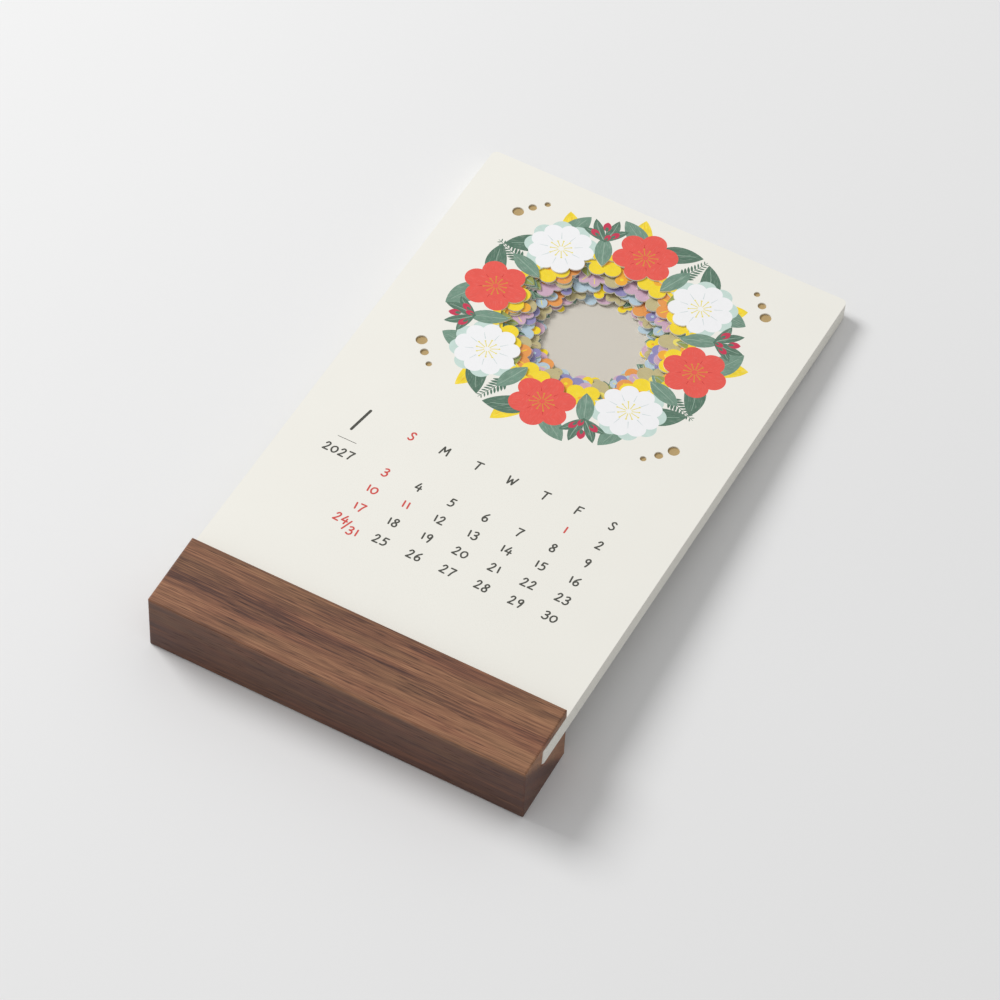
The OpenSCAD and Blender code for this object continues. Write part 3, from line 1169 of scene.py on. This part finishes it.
def card_material(finish):
    """Uncoated card, printed in matte inks with the streaks of a flat brush."""
    shader = Shader("printed_card")
    place = shader.in_millimetres()
    ink, brush = shader.attribute("ink"), shader.attribute("brush")["Vector"]
    dry = shader.parts(brush)["Z"]

    fibres = shader.noise(place, PAPER_LUMPS * MM / finish.fibre, detail=4)
    cloud = shader.noise(place, CLOUD_LUMPS, detail=2)
    paper_light = shader.spread(shader.add(fibres, cloud), *PAIR_RANGE, *PAPER_LIGHT)
    paper = shader.lit(finish.paper, paper_light)

    streaks = shader.noise(brush, STREAK_LUMPS, detail=3, roughness=0.6)
    patches = shader.noise(brush, PATCH_LUMPS, detail=2)
    shade = shader.swing(shader.add(streaks, patches), *PAIR_RANGE, finish.streaks)
    painted = shader.lit(ink["Color"], shader.add(1.0, shader.times(shade, dry)))
    gaps = shader.spread(shader.noise(brush, GAP_LUMPS, detail=4, roughness=0.7), *GAP_RANGE)
    thin = shader.times(gaps, shader.times(dry, finish.dry_brush))
    cover = shader.times(ink["Alpha"], shader.less(1.0, thin))

    printed = shader.mix(cover, paper, painted)
    height = shader.add(fibres, shader.times(cover, INK_HEIGHT))
    return shader.finished(printed, finish.roughness, CARD_SHEEN, height, finish.fibre_depth)


def walnut_grain(shader, finish):
    """The place on the stand in millimetres, moved sideways by as much as the grain there slopes and
    sways, so that lines along X follow the grain."""
    place = shader.in_millimetres()
    waves = shader.noise(place, WANDER_LUMPS, detail=0)
    sway = shader.swing(waves, *SWAY_RANGE, finish.wander / MM)
    side = shader.less(sway, shader.times(shader.parts(place)["X"], finish.grain_slope))
    return shader.moved(place, shader.node("CombineXYZ", 0.0, side, 0.0))


def walnut_tone(shader, finish, grain, fibres, hairs):
    """How light the wood is: the underside's painted shade or the figured wood's tone, the one streak,
    and the growth lines, which change with the distance from the pith, with the fibres and the hairs."""
    radius = shader.size(shader.stretched(shader.moved(grain, PITH), 0, 1, 1))
    place = shader.parts(shader.in_millimetres())
    along, up = shader.times(place["X"], GROWTH_ALONG), shader.times(place["Z"], GROWTH_UP)
    patterns = []
    for lumps, detail, most in GROWTH_LINES:
        out = shader.times(radius, lumps * MM / finish.ring_width)
        spot = shader.node("CombineXYZ", along, out, up)
        patterns.append((shader.noise(spot, 1.0, detail, roughness=0.6), most))
    patterns += [(fibres, FIBRE_TONE), (hairs, HAIR_TONE)]
    figure = 0.0
    for pattern, most in patterns:
        figure = shader.add(figure, shader.swing(pattern, *PATTERN_RANGE, most))
    # Painted shade: the underside, up to the front face's lower edge, shows less of the figure
    figure = shader.times(figure, shader.spread(radius, UNDERSIDE_SHADE_TO, FIGURE_FROM, UNDERSIDE_SHADE_FIGURE, 1.0))

    from_streak = shader.node("Math", shader.less(radius, STREAK_AT), operation="ABSOLUTE")
    edges = STREAK_CORE, STREAK_END, STREAK_TONE, 0.0
    streak = shader.node("MapRange", from_streak, *edges, interpolation_type="SMOOTHSTEP")
    # Painted shade: the underside, up to the front face's lower edge, is darker than the figured wood
    wood = shader.spread(radius, UNDERSIDE_SHADE_TO, FIGURE_FROM, UNDERSIDE_SHADE_TONE, FIGURE_TONE)
    return shader.add(shader.add(wood, streak), figure)


def walnut_pores(shader, finish, grain, tone):
    """How open a pore is, from 0 to 1: one about the point of each cell, and fainter in pale wood."""
    across = PORE_ACROSS * MM / finish.pore_width
    cells = shader.stretched(grain, PORE_ALONG * MM / finish.pore_length, across, across)
    from_point = shader.node("TexVoronoi", Vector=cells, Scale=1.0, Randomness=1.0)
    pores = shader.spread(from_point, PORE_CORE, PORE_END, 1.0, 0.0)
    return shader.times(pores, shader.spread(tone, *PORE_TONES, PORE_FAINT, 1.0))


def walnut_material(finish):
    """Oiled walnut as a solid wood. The grain runs nearly along X, and the wood changes with the
    distance from a far pith, so that the faces show lines and the sawn ends show arcs: the underside
    darkened as painted shade up to the front face's lower edge, one broad soft streak, a slow change of
    tint, growth lines, fibres, hairs, and open pores that are stronger in the darker wood."""
    shader = Shader("oiled_walnut")
    grain = walnut_grain(shader, finish)
    fibres = shader.noise(grain, FIBRE_LUMPS, detail=3, roughness=0.65)
    hairs = shader.noise(grain, HAIR_LUMPS, detail=2, roughness=0.6)
    tone = walnut_tone(shader, finish, grain, fibres, hairs)
    pores = walnut_pores(shader, finish, grain, tone)

    tint = shader.spread(shader.noise(grain, TINT_LUMPS, detail=1), *TINT_RANGE)
    heart = shader.mix(tint, finish.heart, finish.warm)
    dark = shader.mix(shader.spread(tone, TONE_STREAK, TONE_HEART), finish.streak, heart)
    wood = shader.mix(shader.spread(tone, TONE_HEART, TONE_PALE), dark, finish.light)
    wood = shader.mix(shader.times(pores, PORE_COVER), wood, finish.pore)

    rough = finish.roughness - ROUGH_LESS, finish.roughness + ROUGH_MORE
    gloss = shader.spread(fibres, *SOFT_RANGE, *rough)
    roughness = shader.add(gloss, shader.times(pores, PORE_ROUGH))
    height = shader.less(shader.times(hairs, HAIR_HEIGHT), pores)
    return shader.finished(wood, roughness, WOOD_SHEEN, height, finish.pore_depth)


def floor_material(settings):
    """A plain pale floor."""
    shader = Shader("pale_floor")
    cloud = shader.noise(shader.in_millimetres(), FLOOR_LUMPS, detail=2)
    light = shader.spread(cloud, *SOFT_RANGE, *FLOOR_LIGHT)
    return shader.finished(shader.lit(settings.floor, light), FLOOR_ROUGH, FLOOR_SHEEN)


# Operators

# Half the width of the floor, how far it lies under the piece so that the two don't touch, and how
# far the camera sees, in metres
FLOOR_HALF = 3.0
FLOOR_DROP = 0.00002
CLIP_END = 20
# Width of the camera's sensor in millimetres
SENSOR = 36


class CALENDAR_OT_finish_walnut(bpy.types.Operator):
    """Give the stand its oiled walnut"""

    bl_idname = "calendar.finish_walnut"
    bl_label = "Finish the walnut stand"

    def execute(self, context):
        material = walnut_material(context.scene.calendar.walnut)
        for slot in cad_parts["walnut_base"].material_slots:
            slot.material = material
        return {"FINISHED"}


class CALENDAR_OT_print_cards(bpy.types.Operator):
    """Make the twelve month cards on their nodes' outlines and print them"""

    bl_idname = "calendar.print_cards"
    bl_label = "Print the month cards"

    def execute(self, context):
        settings = context.scene.calendar
        material = card_material(settings.card)
        space = CardSpace(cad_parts["january_card"].data)
        blanks = {
            month: space.blank(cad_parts[f"{month}_card"].data)
            for month in [*(ring.month for ring in RINGS), LAST_MONTH]
        }
        front = blanks[RINGS[0].month]
        centre = Place(middle(front.loops[1]))
        for number, (month, blank) in enumerate(blanks.items(), 1):
            art = Artwork(settings.inks)
            if month == LAST_MONTH:
                # Its middle is tinted grey as painted shade at the floor of the hole, and shows through
                # the hole of the card before it
                art.shape(centre, circle(hole + GROUND_PAST), "stone")
            else:
                hole = blank.reach(centre)
                print_one = print_wreath if number == 1 else print_ring
                print_one(art, centre, hole, RINGS[number - 1])
            if number == 2:
                print_behind_dots(art, front)
            print_dates(art, centre, settings.dates, number)
            place_card(month, blank, art, material)
        return {"FINISHED"}


class CALENDAR_OT_set_stage(bpy.types.Operator):
    """Lay the floor, hang the lamp and place the camera"""

    bl_idname = "calendar.set_stage"
    bl_label = "Set the stage"

    def execute(self, context):
        settings = context.scene.calendar.stage
        collection = context.scene.collection

        mesh = bpy.data.meshes.new("floor")
        corners = [(-1, -1), (1, -1), (1, 1), (-1, 1)]
        places = [(x * FLOOR_HALF, y * FLOOR_HALF, -FLOOR_DROP) for x, y in corners]
        mesh.from_pydata(places, [], [(0, 1, 2, 3)])
        mesh.materials.append(floor_material(settings))
        floor = bpy.data.objects.new("floor", mesh)
        collection.objects.link(floor)

        lamp = bpy.data.lights.new("window", "AREA")
        lamp.shape, lamp.size, lamp.energy = "DISK", settings.key_size, settings.key_power
        window = bpy.data.objects.new("window", lamp)
        window.location = settings.key_at
        window.rotation_euler = Vector(settings.key_at).to_track_quat("Z", "Y").to_euler()
        collection.objects.link(window)

        world = bpy.data.worlds.new("room")
        world.use_nodes = True
        backdrop = world.node_tree.nodes["Background"]
        backdrop.inputs["Color"].default_value = (1, 1, 1, 1)
        backdrop.inputs["Strength"].default_value = settings.sky_strength
        context.scene.world = world

        camera = bpy.data.cameras.new("camera")
        camera.lens, camera.sensor_width, camera.clip_end = settings.lens, SENSOR, CLIP_END
        eye = bpy.data.objects.new("camera", camera)
        right, up = Vector(settings.camera_right), Vector(settings.camera_up)
        turn = Matrix((right, up, right.cross(up))).transposed()
        eye.matrix_world = Matrix.LocRotScale(Vector(settings.camera_at), turn, None)
        collection.objects.link(eye)
        context.scene.camera = eye
        context.scene.view_settings.view_transform = "Standard"
        return {"FINISHED"}


class CALENDAR_PT_make(bpy.types.Panel):
    """Lists the steps that make the calendar"""

    bl_label = "Desk calendar"
    bl_idname = "CALENDAR_PT_make"
    bl_space_type = "VIEW_3D"
    bl_region_type = "UI"
    bl_category = "Calendar"

    def draw(self, context):
        for operator in OPERATORS:
            self.layout.operator(operator.bl_idname)


OPERATORS = (CALENDAR_OT_set_stage, CALENDAR_OT_finish_walnut, CALENDAR_OT_print_cards)
CLASSES = (
    WalnutFinish,
    CardFinish,
    Inks,
    DateSizes,
    StageSettings,
    CalendarSettings,
    *OPERATORS,
    CALENDAR_PT_make,
)


def register():
    """Registers the classes and gives each scene its settings."""
    for made in CLASSES:
        bpy.utils.register_class(made)
    bpy.types.Scene.calendar = PointerProperty(type=CalendarSettings)


def unregister():
    """Takes the settings and the classes away again."""
    del bpy.types.Scene.calendar
    for made in reversed(CLASSES):
        bpy.utils.unregister_class(made)


def main():
    """Makes the calendar and its stage."""
    register()
    bpy.ops.calendar.set_stage()
    bpy.ops.calendar.finish_walnut()
    bpy.ops.calendar.print_cards()


if __name__ == "__main__":
    main()
